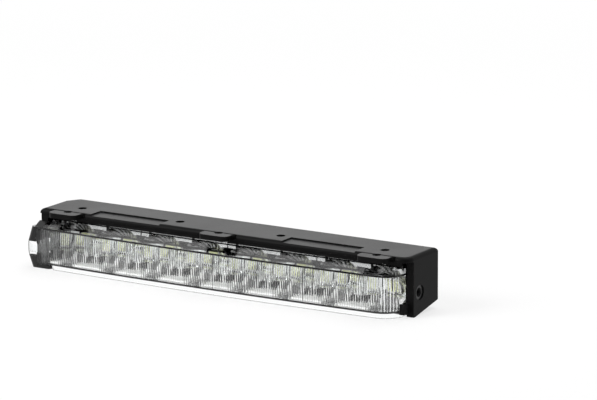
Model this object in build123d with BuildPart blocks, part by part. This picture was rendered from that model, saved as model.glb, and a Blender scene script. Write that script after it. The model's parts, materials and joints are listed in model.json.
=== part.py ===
"""Daytime running light: a slim eight-LED lamp in a black moulded bracket.

X runs along the lamp (right when seen from the front), Y runs from the front to the back, Z is up.
The origin lies under the rear row of screw holes, at mid-length, on the plane the lamp rests on.
"""
from build123d import *
import os
from math import asin, atan, cos, degrees, pi, radians, sin, sqrt

os.makedirs("parts", exist_ok=True)

# General fits
fit_gap = 0.2
wall_gap = 0.8
touch = 0.01

# LEDs and circuit board
led_count = 8
led_pitch = 24.0
led_height = 10.0
led_side = 5.6
led_corner_mark = 0.9
led_thickness = 1.2
led_clearance = 0.25
phosphor_side = 4.6
phosphor_rise = 0.7
phosphor_taper = 25.0
board_thickness = 1.6
board_margin = 0.4
pad_thickness = 0.6

# Housing
end_allowance = 4.0
plate_thickness = 2.4
plate_gap = 2.3
plate_edge_radius = 2.0
wall_thickness = 3.7
right_corner_radius = 5.2
wall_foot_depth = 1.5
wall_rear_lift = 3.9
back_wall_thickness = 2.2
bevel_along_x = 4.5
bevel_along_y = 7.0
lip_depth = 1.5
lip_height = 2.0

# Tabs on the front edge of the top plate
tab_width = 15.6
tab_reach = 6.1
tab_corner_radius = 3.0
relief_width = 1.6
relief_depth = 1.2

# Screw holes and recesses in the top plate
screw_hole_diameter = 4.2
rear_hole_count = 4
rear_hole_inset = 17.5
front_hole_count = 3
front_hole_inset = 16.0
front_row_distance = 9.7
recess_start = 33.3
recess_length = 38.7
recess_reach = 9.5
recess_depth = 0.6

# Side inserts and the claw beside the right end of the lens
insert_diameter = 7.0
insert_bore = 4.2
insert_y = 1.0
insert_z = 10.5
insert_sink = 0.6
claw_length = 4.2
claw_thickness = 2.2
claw_bottom = 1.6
claw_height = 4.9

# Lens
lens_reach = 6.3
lens_depth = 13.1
lens_crown = 1.3
lens_front_radius = 1900.0
lens_above_led = 9.7
lens_slope_rise = 3.6
lens_slope_depth = 6.7
lens_corner_radius = 10.4
lens_top_corner_radius = 2.4
lens_end_inset = 0.5
lens_rim_gap = 0.3
lens_wall = 1.4
lens_front_wall = 2.0
lens_floor_bottom = 2.2
lens_floor_wall = 0.8
skirt_gap = 1.7
skirt_thickness = 2.0
flute_pitch = 1.2
flute_swell = 0.08
flute_wrap = 62.0
flute_rib_width = 0.4
flute_rib_depth = 0.25

# End cap on the left end of the lens
cap_overhang = 5.2
cap_crown = 2.0
cap_nose = 2.4
cap_spine_width = 1.0
cap_spine_depth = 3.1
window_bottom = 6.0
window_height = 6.8
leg_reach = 13.0
leg_corner_radius = 2.0

# Carrier and seal
seal_thickness = 0.6
ledge_height = 1.8
ledge_clearance = 0.3
carrier_end_relief = 8.0
pin_diameter = 2.6
pin_inset = 1.6
pin_offset = -6.9
pin_tip = 0.9

# Reflectors
cells_per_reflector = 2
reflector_wall = 0.8
reflector_gap = 0.6
reflector_depth = 6.2
reflector_inset = 0.3
reflector_seat = 0.1
left_margin = 1.4
bowl_radius = 11.2
bowl_drop = 3.5
bowl_facets = 20
bowl_steps = 3
scoop_width = 14.0
scoop_radius = 9.0
shelf_clearance = 0.8
notch_width = 8.0
notch_depth = 6.5
visor_rise = 7.8
roof_thickness = 1.2
roof_clearance = 0.45

# Heat sink, rear ports and the opening behind them
sink_plate = 2.5
sink_bottom = 3.4
fin_count = 5
fin_pitch = 3.5
fin_thickness = 1.5
fin_depth = 3.3
fin_lap = 2.0
fin_clearance = 1.5
boss_diameter = 7.0
boss_inset = 8.3
boss_margin = 0.8
grommet_diameter = 8.0
grommet_bore = 4.5
flange_overlap = 1.5
flange_thickness = 2.2
port_wall = 2.0
vent_diameter = 8.0
vent_thickness = 0.8
vent_hole = 3.0
opening_inset = 10.0

# Screws
board_screw_diameter = 2.5
board_screw_head = 4.4
board_screw_head_height = 1.4
carrier_screw_diameter = 3.0
carrier_screw_head = 5.5
carrier_screw_head_height = 1.8
screw_tip_clearance = 0.3

# Board circuit
resistor_length = 3.2
resistor_width = 1.6
resistor_height = 0.6
regulator_length = 5.6
regulator_width = 3.5
regulator_height = 1.6
diode_length = 4.3
diode_width = 2.6
diode_height = 2.1
capacitor_diameter = 4.0
capacitor_height = 2.2
header_length = 5.0
header_width = 3.4
header_height = 2.4
circuit_clearance = 0.6

right_angle = radians(90)

# Along the lamp
half_length = led_count * led_pitch / 2 + end_allowance
housing_length = 2 * half_length
wall_inner = half_length - wall_thickness
lens_right_end = wall_inner - wall_gap
lens_rim_left = lens_rim_gap - wall_inner
lens_left_end = lens_end_inset - half_length
lens_inner_right = lens_right_end - lens_wall
lens_inner_left = lens_rim_left + lens_wall
cap_left = -half_length - cap_overhang
leg_right = cap_left + leg_reach
skirt_left = leg_right + skirt_gap
boss_x = wall_inner - boss_inset
opening_end = boss_x - opening_inset
led_places = [led_pitch * (i - (led_count - 1) / 2) for i in range(led_count)]
rear_hole_end = half_length - rear_hole_inset
front_hole_end = half_length - front_hole_inset
rear_hole_places = [
    rear_hole_end * (2 * i / (rear_hole_count - 1) - 1) for i in range(rear_hole_count)
]
front_hole_places = [
    front_hole_end * (2 * i / (front_hole_count - 1) - 1) for i in range(front_hole_count)
]

# From front to back, with the rear row of screw holes at zero
plate_front = -front_row_distance
left_wall_front = plate_front + wall_gap
right_wall_front = plate_front + right_corner_radius
wall_foot_start = right_wall_front + wall_foot_depth
lens_front = plate_front - lens_reach
lens_step_y = left_wall_front - fit_gap
lens_rim_y = lens_front + lens_depth
carrier_front = lens_rim_y + seal_thickness
reflector_front = carrier_front + reflector_inset
reflector_back = carrier_front + reflector_depth
board_front = reflector_back + board_screw_head_height + fit_gap
led_front = board_front - led_thickness
pad_front = board_front + board_thickness
carrier_back = pad_front + pad_thickness
sink_back = carrier_back + sink_plate
fin_tip = sink_back + fin_depth
back_wall_inner = fin_tip + fin_clearance
plate_back = back_wall_inner + back_wall_thickness
screw_seat = plate_back - back_wall_thickness / 2

# Upwards
lens_floor = lens_floor_bottom + lens_floor_wall
lens_front_height = led_height + lens_above_led
lens_height = lens_front_height + lens_slope_rise
lens_ceiling = lens_height - lens_wall
cavity_shoulder = lens_front_height - lens_wall
crown_height = lens_front_height / 2
plate_underside = lens_height + plate_gap
housing_height = plate_underside + plate_thickness
window_top = window_bottom + window_height
ledge_top = lens_floor + ledge_height
board_bottom = ledge_top + board_margin
board_top = lens_ceiling - board_margin
circuit_z = board_top - capacitor_diameter / 2 - circuit_clearance
bowl_bottom = led_height - bowl_drop
visor_bottom = led_height + visor_rise
roof_top = lens_ceiling - roof_clearance
roof_underside = roof_top - roof_thickness
sink_middle = (sink_bottom + lens_height) / 2
boss_low = sink_bottom + boss_diameter / 2 + boss_margin
boss_high = lens_height - boss_diameter / 2 - boss_margin

# Fittings
bowl_throat = led_side / sqrt(2) + led_clearance
port_boss_diameter = grommet_diameter + 2 * port_wall
grommet_flange = grommet_diameter + 2 * flange_overlap
board_screw_length = board_thickness + pad_thickness + sink_plate - screw_tip_clearance
carrier_screw_length = screw_seat - sink_back
reflector_pitch = led_pitch * cells_per_reflector
reflector_count = led_count // cells_per_reflector
reflector_places = [reflector_pitch * (i - (reflector_count - 1) / 2) for i in range(reflector_count)]
boss_places = [(x, z) for x in (-boss_x, boss_x) for z in (boss_low, boss_high)]
header_x = 0.25 * led_pitch
capacitor_x = 0.75 * led_pitch
diode_x = -0.75 * led_pitch
regulator_x = 1.25 * led_pitch
vent_x = 1.75 * led_pitch


def save(builder, name):
    """Labels a finished piece and writes it."""
    builder.part.label = name
    export_step(builder.part, f"parts/{name}.step")


def wall_foot(y):
    """Height of an end wall's lower edge, which lifts towards the back."""
    return max(0.0, wall_rear_lift * (y - wall_foot_start) / (plate_back - wall_foot_start))


def front_line(x, inset):
    """Y of the gently curved lens front, inset from its lower and upper edges."""
    return lens_front + inset + lens_front_radius - sqrt(lens_front_radius**2 - x**2)


def crown_inset(z):
    """The front bulges most at mid-height; negative insets lie in front of the edges."""
    return lens_crown * ((z - crown_height) / crown_height) ** 2 - lens_crown


def corner(inset, right, wanted_radius, rim):
    """Centre, radius and first angle of the rounded right front corner, tangent to front and end."""
    radius = min(wanted_radius, rim - front_line(right, inset) - fit_gap)
    cx = right - radius
    bow_middle = lens_front + inset + lens_front_radius
    cy = bow_middle - sqrt((lens_front_radius - radius) ** 2 - cx**2)
    return Vector(cx, cy), radius, asin(cx / (lens_front_radius - radius))


def corner_point(centre, radius, angle):
    """A point of a rounded corner; its angle is zero at the front and a right angle at the end."""
    return centre + Vector(radius * sin(angle), -radius * cos(angle))


def corner_arc(inset, right, wanted_radius, rim):
    """Start, middle and end of the rounded right front corner."""
    centre, radius, turn = corner(inset, right, wanted_radius, rim)
    return [corner_point(centre, radius, angle) for angle in (turn, (turn + right_angle) / 2, right_angle)]


def lens_outline(z, inset, radius):
    """The lens's plan outline at height z."""
    start, middle, end = corner_arc(inset, lens_right_end, radius, lens_rim_y)
    left_y = front_line(lens_left_end, inset)
    middle_x = (lens_left_end + start.X) / 2
    with BuildSketch(Plane.XY.offset(z)) as outline:
        with BuildLine():
            ThreePointArc((lens_left_end, left_y), (middle_x, front_line(middle_x, inset)), start)
            ThreePointArc(start, middle, end)
            Polyline(
                end,
                (lens_right_end, lens_rim_y),
                (lens_rim_left, lens_rim_y),
                (lens_rim_left, lens_step_y),
                (lens_left_end, lens_step_y),
                (lens_left_end, left_y),
            )
        make_face()
    return outline.sketch.face()


def top_outline(z, inset, left, right, radius, rim):
    """A plan outline under the sloping top, between two ends and back to a rim."""
    start, middle, end = corner_arc(inset, right, radius, rim)
    left_y = front_line(left, inset)
    middle_x = (left + start.X) / 2
    with BuildSketch(Plane.XY.offset(z)) as outline:
        with BuildLine():
            ThreePointArc((left, left_y), (middle_x, front_line(middle_x, inset)), start)
            ThreePointArc(start, middle, end)
            Polyline(end, (right, rim), (left, rim), (left, left_y))
        make_face()
    return outline.sketch.face()


def end_outline(z):
    """The plan outline of the lens's wrapped left end, which ends in a round nose."""
    front = front_line(lens_left_end, crown_inset(z))
    left = cap_left + cap_crown * ((z - crown_height) / crown_height) ** 2
    nose = left + min(cap_nose, lens_left_end - left - fit_gap)
    with BuildSketch(Plane.XY.offset(z)) as outline:
        with BuildLine():
            ThreePointArc((nose, lens_step_y), (left, (front + lens_step_y) / 2), (nose, front))
            Polyline((nose, front), (lens_left_end, front), (lens_left_end, lens_step_y), (nose, lens_step_y))
        make_face()
    return outline.sketch.face()


def bowl_section(share):
    """Radius of a reflector bowl, a paraboloid, at a share of its depth in front of its throat."""
    return sqrt(bowl_throat**2 + share * (bowl_radius**2 - bowl_throat**2))


def bowl(wall):
    """A facetted reflector bowl, standing on its rim and grown by a wall."""
    step_depth = (reflector_back - reflector_front) / bowl_steps
    radii = [bowl_section(1 - step / bowl_steps) for step in range(bowl_steps + 1)]
    with BuildPart() as steps:
        for step in range(bowl_steps):
            narrowing = (radii[step] - radii[step + 1]) * cos(pi / bowl_facets)
            with BuildSketch(Plane.XY.offset(step * step_depth)):
                RegularPolygon(radii[step] + wall, bowl_facets)
            extrude(amount=step_depth, taper=degrees(atan(narrowing / step_depth)))
    return steps.part


# Housing: top plate, end walls, rear flanges
with BuildPart() as housing:
    with BuildSketch(Plane.XY.offset(plate_underside)):
        with BuildLine():
            Polyline(
                (-half_length, plate_front),
                (half_length, plate_front),
                (half_length, plate_back),
                (bevel_along_x - half_length, plate_back),
                (-half_length, plate_back - bevel_along_y),
                close=True,
            )
        make_face()
    extrude(amount=plate_thickness)
    # End walls with a lower edge that lifts towards the back
    for outer, inward, front in (
        (half_length, -wall_thickness, right_wall_front),
        (-half_length, wall_thickness, left_wall_front),
    ):
        with BuildSketch(Plane.YZ.offset(outer)):
            with BuildLine():
                Polyline(
                    (front, plate_underside),
                    (front, 0),
                    (wall_foot_start, 0),
                    (plate_back, wall_rear_lift),
                    (plate_back, plate_underside),
                    close=True,
                )
            make_face()
        extrude(amount=inward)
    # Flanges at both rear corners, with the back open over the cooling fins between them
    with BuildSketch(Plane.XZ.offset(-plate_back)):
        for side in (-1, 1):
            with Locations((side * (opening_end + wall_inner) / 2, (wall_rear_lift + plate_underside) / 2)):
                Rectangle(wall_inner - opening_end, plate_underside - wall_rear_lift)
    extrude(amount=back_wall_thickness)
    # The bevelled rear left corner
    with BuildSketch():
        with BuildLine():
            Polyline(
                (-half_length, plate_back - bevel_along_y),
                (bevel_along_x - half_length, plate_back),
                (-half_length, plate_back),
                close=True,
            )
        make_face()
    extrude(amount=housing_height, mode=Mode.SUBTRACT)
    # Rounded edges of the top plate and of the front right corner
    corner_edges = housing.edges().filter_by(Axis.Z).filter_by_position(
        Axis.X, half_length - touch, half_length + touch
    )
    fillet(corner_edges.group_by(Axis.Y)[0], right_corner_radius)
    rim = housing.faces().sort_by(Axis.Z)[-1].edges().filter_by_position(
        Axis.Y, plate_front + touch, plate_back + touch
    )
    fillet(rim, min(plate_edge_radius, plate_thickness - fit_gap))
    # Lip under the front edge, open at the front screw holes
    with BuildSketch(Plane.XY.offset(plate_underside)):
        with Locations((0, left_wall_front + lip_depth / 2)):
            Rectangle(2 * wall_inner, lip_depth)
        for x in front_hole_places:
            with Locations((x, left_wall_front + lip_depth / 2)):
                Rectangle(2 * screw_hole_diameter, lip_depth, mode=Mode.SUBTRACT)
    extrude(amount=-lip_height)
    # Tabs on the front edge, each with a relief at both sides
    with BuildSketch(Plane.XY.offset(plate_underside)) as tab_sketch:
        for x in front_hole_places:
            with Locations((x, plate_front - tab_reach / 2)):
                Rectangle(tab_width, tab_reach)
        fillet(tab_sketch.vertices().group_by(Axis.Y)[0], tab_corner_radius)
    extrude(amount=plate_thickness)
    with BuildSketch(Plane.XY.offset(plate_underside)):
        for x in front_hole_places:
            for side in (-1, 1):
                with Locations((x + side * (tab_width + relief_width) / 2, plate_front + relief_depth / 2)):
                    Rectangle(relief_width, relief_depth)
    extrude(amount=plate_thickness, mode=Mode.SUBTRACT)
    # Shallow recesses, open to the front edge
    with BuildSketch(Plane.XY.offset(housing_height)):
        for side in (-1, 1):
            with Locations((side * (recess_start + recess_length / 2), plate_front + recess_reach / 2)):
                Rectangle(recess_length, recess_reach)
    extrude(amount=-recess_depth, mode=Mode.SUBTRACT)
    # Screw holes
    with BuildSketch(Plane.XY.offset(plate_underside)):
        with Locations([(x, 0) for x in rear_hole_places]):
            Circle(screw_hole_diameter / 2)
        with Locations([(x, plate_front) for x in front_hole_places]):
            Circle(screw_hole_diameter / 2)
    extrude(amount=plate_thickness, mode=Mode.SUBTRACT)
    # Holes for the side inserts
    with BuildSketch(Plane.YZ.offset(-half_length)):
        with Locations((insert_y, insert_z)):
            Circle(insert_diameter / 2)
    extrude(amount=housing_length, mode=Mode.SUBTRACT)
    # Claw in front of the right wall, which follows the rounded corner of the lens
    claw_centre, corner_radius, _ = corner(
        -lens_crown, lens_right_end, lens_corner_radius, lens_rim_y
    )
    claw_inner = corner_radius + fit_gap
    claw_outer = claw_inner + claw_thickness
    with BuildSketch(Plane.XY.offset(claw_bottom)):
        with Locations(claw_centre):
            Circle(claw_outer)
            Circle(claw_inner, mode=Mode.SUBTRACT)
        with Locations((claw_centre.X + claw_outer / 2, right_wall_front + (touch - claw_length) / 2)):
            Rectangle(claw_outer, claw_length + touch, mode=Mode.INTERSECT)
    extrude(amount=claw_height)
    # Counterbored screw seats in the flanges
    with Locations([Plane((x, plate_back, z), x_dir=(-1, 0, 0), z_dir=(0, 1, 0)) for x, z in boss_places]):
        CounterBoreHole(
            carrier_screw_diameter / 2 + fit_gap,
            carrier_screw_head / 2 + fit_gap,
            back_wall_thickness / 2,
            back_wall_thickness,
        )
save(housing, "housing")

# Lens: crowned front, sloping top, fluted inside
with BuildPart() as lens:
    crown_levels = (0, crown_height, lens_front_height)
    loft([lens_outline(z, crown_inset(z), lens_corner_radius) for z in crown_levels])
    outer_levels = (
        (lens_front_height, 0, lens_corner_radius),
        (lens_height, lens_slope_depth, lens_top_corner_radius),
    )
    loft(
        [
            top_outline(z, inset, lens_rim_left, lens_right_end, radius, lens_rim_y)
            for z, inset, radius in outer_levels
        ],
        ruled=True,
    )
    # Wrapped left end, which shows in the window of the end cap
    loft([end_outline(z) for z in (window_bottom, (window_bottom + window_top) / 2, window_top)])
    # Space under the sloping top
    inner_levels = (
        (cavity_shoulder, lens_front_wall, lens_corner_radius - lens_wall),
        (lens_ceiling, lens_front_wall + lens_slope_depth - lens_wall, lens_top_corner_radius - lens_wall),
    )
    inner_rim = lens_rim_y + lens_wall
    loft(
        [
            top_outline(z, inset, lens_inner_left, lens_inner_right, radius, inner_rim)
            for z, inset, radius in inner_levels
        ],
        ruled=True,
        mode=Mode.SUBTRACT,
    )
    # Space behind the front, fluted along the front and round the right corner
    first = lens_left_end + lens_wall
    inner_radius = lens_corner_radius - lens_wall
    flute_centre, flute_radius, flute_turn = corner(
        lens_front_wall, lens_inner_right, inner_radius, inner_rim
    )
    front_end = corner_point(flute_centre, flute_radius, flute_turn).X
    front_flutes = int((front_end - first) / flute_pitch)
    front_pitch = (front_end - first) / front_flutes
    corner_flutes = int(radians(flute_wrap) * flute_radius / flute_pitch)
    corner_pitch = radians(flute_wrap) / corner_flutes
    land = 1 - flute_rib_width / flute_pitch
    flute_profile = ((0, 0), (land / 2, flute_swell), (land, 0), ((1 + land) / 2, flute_rib_depth))
    flute_points = []
    for i in range(front_flutes):
        for share, depth in flute_profile:
            x = first + (i + share) * front_pitch
            flute_points.append(Vector(x, front_line(x, lens_front_wall + depth)))
    for i in range(corner_flutes):
        for share, depth in flute_profile:
            angle = flute_turn + (i + share) * corner_pitch
            flute_points.append(corner_point(flute_centre, flute_radius - depth, angle))
    last_angle = flute_turn + radians(flute_wrap)
    flute_points.append(corner_point(flute_centre, flute_radius, last_angle))
    plain_middle = corner_point(flute_centre, flute_radius, (last_angle + right_angle) / 2)
    plain_end = corner_point(flute_centre, flute_radius, right_angle)
    with BuildSketch(Plane.XY.offset(lens_floor)):
        with BuildLine():
            Polyline(*flute_points)
            ThreePointArc(flute_points[-1], plain_middle, plain_end)
            Polyline(
                plain_end,
                (lens_inner_right, inner_rim),
                (lens_inner_left, inner_rim),
                (lens_inner_left, lens_step_y - lens_wall),
                (first, lens_step_y - lens_wall),
                flute_points[0],
            )
        make_face()
    extrude(amount=cavity_shoulder - lens_floor, mode=Mode.SUBTRACT)
    # Hollow of the wrapped end, joined to the space behind the front
    with BuildSketch(Plane.XY.offset(window_bottom + lens_wall)):
        hollow_front = front_line(lens_left_end, lens_wall)
        hollow_left = cap_left + lens_wall
        with Locations(((hollow_left + first) / 2, (hollow_front + lens_step_y - lens_wall) / 2)):
            Rectangle(first - hollow_left, lens_step_y - lens_wall - hollow_front)
    extrude(amount=window_height - 2 * lens_wall, mode=Mode.SUBTRACT)
    # Open underside behind the skirt, which leans like the crowned front
    under_right = lens_right_end - skirt_thickness
    under_radius = lens_corner_radius - skirt_thickness
    loft(
        [
            top_outline(z, crown_inset(z) + skirt_thickness, skirt_left, under_right, under_radius, inner_rim)
            for z in (0, lens_floor_bottom)
        ],
        ruled=True,
        mode=Mode.SUBTRACT,
    )
    with BuildSketch():
        with Locations(((lens_left_end + skirt_left) / 2, lens_front)):
            Rectangle(skirt_left - lens_left_end, 4 * lens_corner_radius)
        with Locations((lens_right_end, lens_corner_radius / 2 + lens_rim_y - seal_thickness)):
            Rectangle(4 * skirt_thickness, lens_corner_radius)
    extrude(amount=lens_floor_bottom, mode=Mode.SUBTRACT)
save(lens, "lens")

# End cap: a C round the wrapped end of the lens, with a leg along the skirt
with BuildPart() as end_cap:
    for low, high in ((0, window_bottom), (window_top, lens_front_height)):
        loft([end_outline(low), end_outline(high)], ruled=True)
    with BuildSketch(Plane.YZ.offset(-half_length - fit_gap)):
        with Locations((lens_step_y + cap_spine_depth / 2, lens_front_height / 2)):
            Rectangle(cap_spine_depth, lens_front_height)
    extrude(amount=-cap_spine_width)
    # Shoulder over the top of the lens, beside its sloping top
    shoulder_front = front_line(lens_left_end, 0)
    shoulder_rise = (lens_step_y - shoulder_front) * (lens_height - lens_front_height) / lens_slope_depth
    with BuildSketch(Plane.YZ.offset(lens_rim_left - fit_gap)):
        with BuildLine():
            Polyline(
                (shoulder_front, lens_front_height),
                (lens_step_y, lens_front_height + shoulder_rise),
                (lens_step_y, lens_front_height),
                close=True,
            )
        make_face()
    extrude(amount=cap_left + cap_crown + cap_nose + fit_gap - lens_rim_left)
    with BuildSketch() as leg_sketch:
        with BuildLine():
            Polyline(
                (lens_left_end, shoulder_front),
                (leg_right, shoulder_front),
                (leg_right, lens_step_y),
                (lens_left_end, lens_step_y),
                close=True,
            )
        make_face()
        leg_round = min(leg_corner_radius, (lens_step_y - shoulder_front) / 2 - touch)
        fillet(leg_sketch.vertices().sort_by(Axis.X)[-2:], leg_round)
    extrude(amount=lens_floor_bottom)
save(end_cap, "end_cap")

# Seal ring between lens and carrier
with BuildPart() as lens_seal:
    with BuildSketch(Plane.XZ.offset(-lens_rim_y)):
        with Locations(((lens_rim_left + lens_right_end) / 2, (lens_floor_bottom + lens_height) / 2)):
            Rectangle(lens_right_end - lens_rim_left, lens_height - lens_floor_bottom)
        with Locations(((lens_inner_left + lens_inner_right) / 2, (lens_floor + lens_ceiling) / 2)):
            Rectangle(
                lens_inner_right - lens_inner_left, lens_ceiling - lens_floor, mode=Mode.SUBTRACT
            )
    extrude(amount=-seal_thickness)
save(lens_seal, "lens_seal")

# Carrier: open frame with a ledge under the board and the pins for the reflectors
with BuildPart() as carrier:
    with BuildSketch(Plane.YZ.offset(lens_rim_left)):
        with Locations(((carrier_front + carrier_back) / 2, lens_height / 2)):
            Rectangle(carrier_back - carrier_front, lens_height)
    extrude(amount=lens_right_end - lens_rim_left)
    with BuildSketch(Plane.YZ.offset(lens_inner_left)):
        with BuildLine():
            Polyline(
                (carrier_front, lens_floor),
                (reflector_back + ledge_clearance, lens_floor),
                (reflector_back + ledge_clearance, ledge_top),
                (carrier_back, ledge_top),
                (carrier_back, lens_ceiling),
                (carrier_front, lens_ceiling),
                close=True,
            )
        make_face()
    extrude(amount=lens_inner_right - lens_inner_left, mode=Mode.SUBTRACT)
    # Both ends of the underside lift like the end walls
    for end, inward in ((lens_rim_left, carrier_end_relief), (lens_right_end, -carrier_end_relief)):
        with BuildSketch(Plane.YZ.offset(end)):
            with BuildLine():
                Polyline(
                    (wall_foot_start, 0),
                    (carrier_back, wall_foot(carrier_back)),
                    (carrier_back, 0),
                    close=True,
                )
            make_face()
        extrude(amount=inward, mode=Mode.SUBTRACT)
    # Pins that come down through the bowls of the reflectors
    pin_y = carrier_front + pin_inset
    pin_share = (reflector_back - pin_y) / (reflector_back - reflector_front)
    pin_bottom = led_height + sqrt(bowl_section(pin_share) ** 2 - pin_offset**2) - pin_tip
    with BuildSketch(Plane.XY.offset(lens_ceiling)):
        with Locations([(x + pin_offset, pin_y) for x in led_places]):
            Circle(pin_diameter / 2)
    extrude(amount=pin_bottom - lens_ceiling)
save(carrier, "carrier")

# Reflectors: two facetted bowls each, with a visor above, a scoop under each LED and a shelf in front
shelf_front = front_line(lens_left_end, lens_front_wall + flute_rib_depth) + shelf_clearance
shelf_back = reflector_front + reflector_wall
scoop_bottom = lens_floor + reflector_seat
scoop_top = bowl_bottom + reflector_wall / 2
bowl_shell = bowl(reflector_wall)
bowl_hollow = bowl(0)
for i, middle in enumerate(reflector_places):
    left = max(middle - (reflector_pitch - reflector_gap) / 2, lens_inner_left + left_margin)
    right = min(middle + (reflector_pitch - reflector_gap) / 2, lens_inner_right - fit_gap)
    cells = led_places[cells_per_reflector * i : cells_per_reflector * (i + 1)]
    rims = [Location((x, reflector_front, led_height), (-90, 0, 0)) for x in cells]
    with BuildPart() as reflector:
        with Locations(rims):
            add(bowl_shell)
        # Only the part above the scoops and below the roof is left of the bowls, between both ends
        with BuildSketch(Plane.XZ.offset(-reflector_front)):
            with Locations(((left + right) / 2, (bowl_bottom + roof_top) / 2)):
                Rectangle(right - left, roof_top - bowl_bottom)
        extrude(amount=reflector_front - reflector_back, mode=Mode.INTERSECT)
        # Visor in front of the bowls
        with BuildSketch(Plane.XZ.offset(-reflector_front)):
            with Locations(((left + right) / 2, (visor_bottom + roof_top) / 2)):
                Rectangle(right - left, roof_top - visor_bottom)
        extrude(amount=-reflector_wall)
        with Locations(rims):
            add(bowl_hollow, mode=Mode.SUBTRACT)
        # Roof over the bowls
        with BuildSketch(Plane.XZ.offset(-reflector_front)):
            with Locations(((left + right) / 2, (roof_underside + roof_top) / 2)):
                Rectangle(right - left, roof_top - roof_underside)
        extrude(amount=-pin_inset - pin_diameter)
        # Scoops that rise to the LEDs
        for x in cells:
            with BuildSketch(Plane.YZ.offset(x - scoop_width / 2)):
                with BuildLine():
                    RadiusArc(
                        (reflector_front, scoop_bottom + reflector_wall),
                        (reflector_back - reflector_wall, scoop_top),
                        scoop_radius,
                    )
                    Polyline(
                        (reflector_back - reflector_wall, scoop_top),
                        (reflector_back, scoop_top),
                        (reflector_back, scoop_top - reflector_wall),
                        (reflector_front + reflector_wall, scoop_bottom),
                        (reflector_front, scoop_bottom),
                        (reflector_front, scoop_bottom + reflector_wall),
                    )
                make_face()
            extrude(amount=scoop_width)
        # Shelf, notched below each LED and ending where the lens rounds its right corner
        shelf_right = min(right, lens_inner_right - lens_corner_radius)
        with BuildSketch(Plane.XY.offset(scoop_bottom)):
            with Locations(((left + shelf_right) / 2, (shelf_front + shelf_back) / 2)):
                Rectangle(shelf_right - left, shelf_back - shelf_front)
            with Locations([(x, shelf_front + notch_depth / 2) for x in cells]):
                Rectangle(notch_width, notch_depth, mode=Mode.SUBTRACT)
        extrude(amount=reflector_wall)
        # Holes for the pins
        with BuildSketch(Plane.XY.offset(led_height)):
            with Locations([(x + pin_offset, pin_y) for x in cells]):
                Circle(pin_diameter / 2 + fit_gap)
        extrude(amount=roof_top - led_height, mode=Mode.SUBTRACT)
    save(reflector, f"reflector_{i + 1}")

# Circuit board with holes for its screws, the cord's leads and the vent
with BuildPart() as circuit_board:
    with BuildSketch(Plane.XZ.offset(-board_front)):
        with Locations(((lens_inner_left + lens_inner_right) / 2, (board_bottom + board_top) / 2)):
            Rectangle(lens_inner_right - lens_inner_left - 2 * board_margin, board_top - board_bottom)
        with Locations([(x, circuit_z) for x in reflector_places]):
            Circle(board_screw_diameter / 2 + fit_gap, mode=Mode.SUBTRACT)
        with Locations((0, sink_middle)):
            Circle(grommet_bore / 2, mode=Mode.SUBTRACT)
        with Locations((vent_x, sink_middle)):
            Circle(vent_hole / 2, mode=Mode.SUBTRACT)
    extrude(amount=-board_thickness)
save(circuit_board, "circuit_board")

# Thermal pad behind the LEDs, below the row of board screws
pad_top = circuit_z - board_screw_diameter / 2 - fit_gap
with BuildPart() as thermal_pad:
    with BuildSketch(Plane.XZ.offset(-pad_front)):
        with Locations(((lens_inner_left + lens_inner_right) / 2, (board_bottom + pad_top) / 2)):
            Rectangle(lens_inner_right - lens_inner_left - 2 * board_margin, pad_top - board_bottom)
        with Locations((0, sink_middle)):
            Circle(grommet_bore / 2, mode=Mode.SUBTRACT)
        with Locations((vent_x, sink_middle)):
            Circle(vent_hole / 2, mode=Mode.SUBTRACT)
    extrude(amount=-pad_thickness)
save(thermal_pad, "thermal_pad")

# Heat sink: rear cover with cooling fins, screw bosses and two ports
with BuildPart() as heat_sink:
    with BuildSketch(Plane.XZ.offset(-carrier_back)):
        with Locations(((lens_rim_left + lens_right_end) / 2, (sink_bottom + lens_height) / 2)):
            Rectangle(lens_right_end - lens_rim_left, lens_height - sink_bottom)
    extrude(amount=-sink_plate)
    with BuildSketch(Plane.XZ.offset(-sink_back)):
        with Locations([(0, sink_middle + fin_pitch * (k - (fin_count - 1) / 2)) for k in range(fin_count)]):
            Rectangle(2 * (opening_end + fin_lap), fin_thickness)
        with Locations([(x, sink_middle) for x in (0, vent_x)]):
            Circle(port_boss_diameter / 2)
    extrude(amount=-fin_depth)
    with BuildSketch(Plane.XZ.offset(-sink_back)):
        with Locations(boss_places):
            Circle(boss_diameter / 2)
    extrude(amount=sink_back - back_wall_inner)
    # Ports, screw holes and threads
    with BuildSketch(Plane.XZ.offset(-carrier_back)):
        with Locations((0, sink_middle)):
            Circle(grommet_diameter / 2)
        with Locations((vent_x, sink_middle)):
            Circle(vent_hole / 2)
    extrude(amount=-sink_plate - fin_depth, mode=Mode.SUBTRACT)
    with BuildSketch(Plane.XZ.offset(-carrier_back)):
        with Locations([(x, circuit_z) for x in reflector_places]):
            Circle(board_screw_diameter / 2)
    extrude(amount=-sink_plate, mode=Mode.SUBTRACT)
    with BuildSketch(Plane.XZ.offset(-back_wall_inner)):
        with Locations(boss_places):
            Circle(carrier_screw_diameter / 2)
    extrude(amount=back_wall_inner - sink_back + screw_tip_clearance, mode=Mode.SUBTRACT)
save(heat_sink, "heat_sink")

# LED packages with one marked corner, and their phosphor fill
for i, x in enumerate(led_places):
    with BuildPart() as led:
        with BuildSketch(Plane.XZ.offset(-board_front)) as led_sketch:
            with Locations((x, led_height)):
                Rectangle(led_side, led_side)
            chamfer(led_sketch.vertices().group_by(Axis.Z)[-1].sort_by(Axis.X)[0], led_corner_mark)
        extrude(amount=led_thickness)
    save(led, f"led_{i + 1}")

    with BuildPart() as led_phosphor:
        with BuildSketch(Plane.XZ.offset(-led_front)):
            with Locations((x, led_height)):
                Rectangle(phosphor_side, phosphor_side)
        extrude(amount=phosphor_rise, taper=phosphor_taper)
    save(led_phosphor, f"led_phosphor_{i + 1}")

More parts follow.
